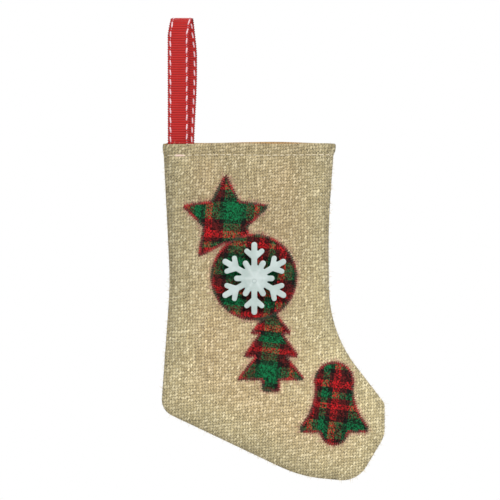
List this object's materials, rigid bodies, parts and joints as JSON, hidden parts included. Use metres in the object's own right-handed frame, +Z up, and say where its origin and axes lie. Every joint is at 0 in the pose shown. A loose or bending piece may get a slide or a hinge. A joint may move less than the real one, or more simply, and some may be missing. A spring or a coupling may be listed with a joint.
{
  "type": "hanging stocking",
  "caption": "Small flat hessian stocking that hangs from a ribbon loop, open at the mouth, with tartan patches and a snowflake on its front.",
  "frame": {"origin": "inside top of the ribbon loop, where a hook carries it, in the middle of the ribbon's width", "axes": "+X from the heel side towards the toe, +Y from the patched front to the plain back, +Z up"},
  "size_m": [0.103, 0.0159, 0.2134],
  "materials": {
    "hessian": "loose plain weave, matt, natural straw colour",
    "ribbon_red": "ribbed grosgrain, slight sheen",
    "saddle_white": "thick soft running stitch",
    "tartan": "brushed twill tartan in green, red and near-black",
    "zigzag_red": "fuzzy twisted thread",
    "sewing_thread": "matt spun thread",
    "frosted_plastic": "smooth, slightly translucent",
    "glue_clear": "clear hot-melt glue"
  },
  "bodies": {
    "stocking": {"front_panel": "hessian", "back_panel": "hessian", "front_hem_thread": "sewing_thread", "back_hem_thread": "sewing_thread", "closing_seam_thread": "sewing_thread", "ribbon_tack_thread": "saddle_white", "ribbon_front_tail": "ribbon_red", "ribbon_back_tail": "ribbon_red", "star_patch": "tartan", "disc_patch": "tartan", "tree_patch": "tartan", "bell_patch": "tartan", "star_edge_thread": "zigzag_red", "disc_edge_thread": "zigzag_red", "tree_edge_thread": "zigzag_red", "bell_edge_thread": "zigzag_red", "snowflake_glue": "glue_clear", "snowflake": "frosted_plastic"},
    "loop_legs": {"ribbon_front_leg": "ribbon_red", "ribbon_back_leg": "ribbon_red", "leg_saddle_stitches": "saddle_white"},
    "loop_top": {"ribbon_bight": "ribbon_red", "bight_saddle_stitches": "saddle_white"}
  },
  "joints": [
    {"name": "loop_twist", "type": "hinge", "parent": "loop_top", "child": "loop_legs", "pos_m": [0, 0, -0.027], "axis": [0, 0, 1], "range_deg": [-90, 90]},
    {"name": "loop_fold", "type": "hinge", "parent": "loop_legs", "child": "stocking", "pos_m": [0, -0.00015, -0.056], "axis": [1, 0, 0], "range_deg": [-90, 90]}
  ]
}
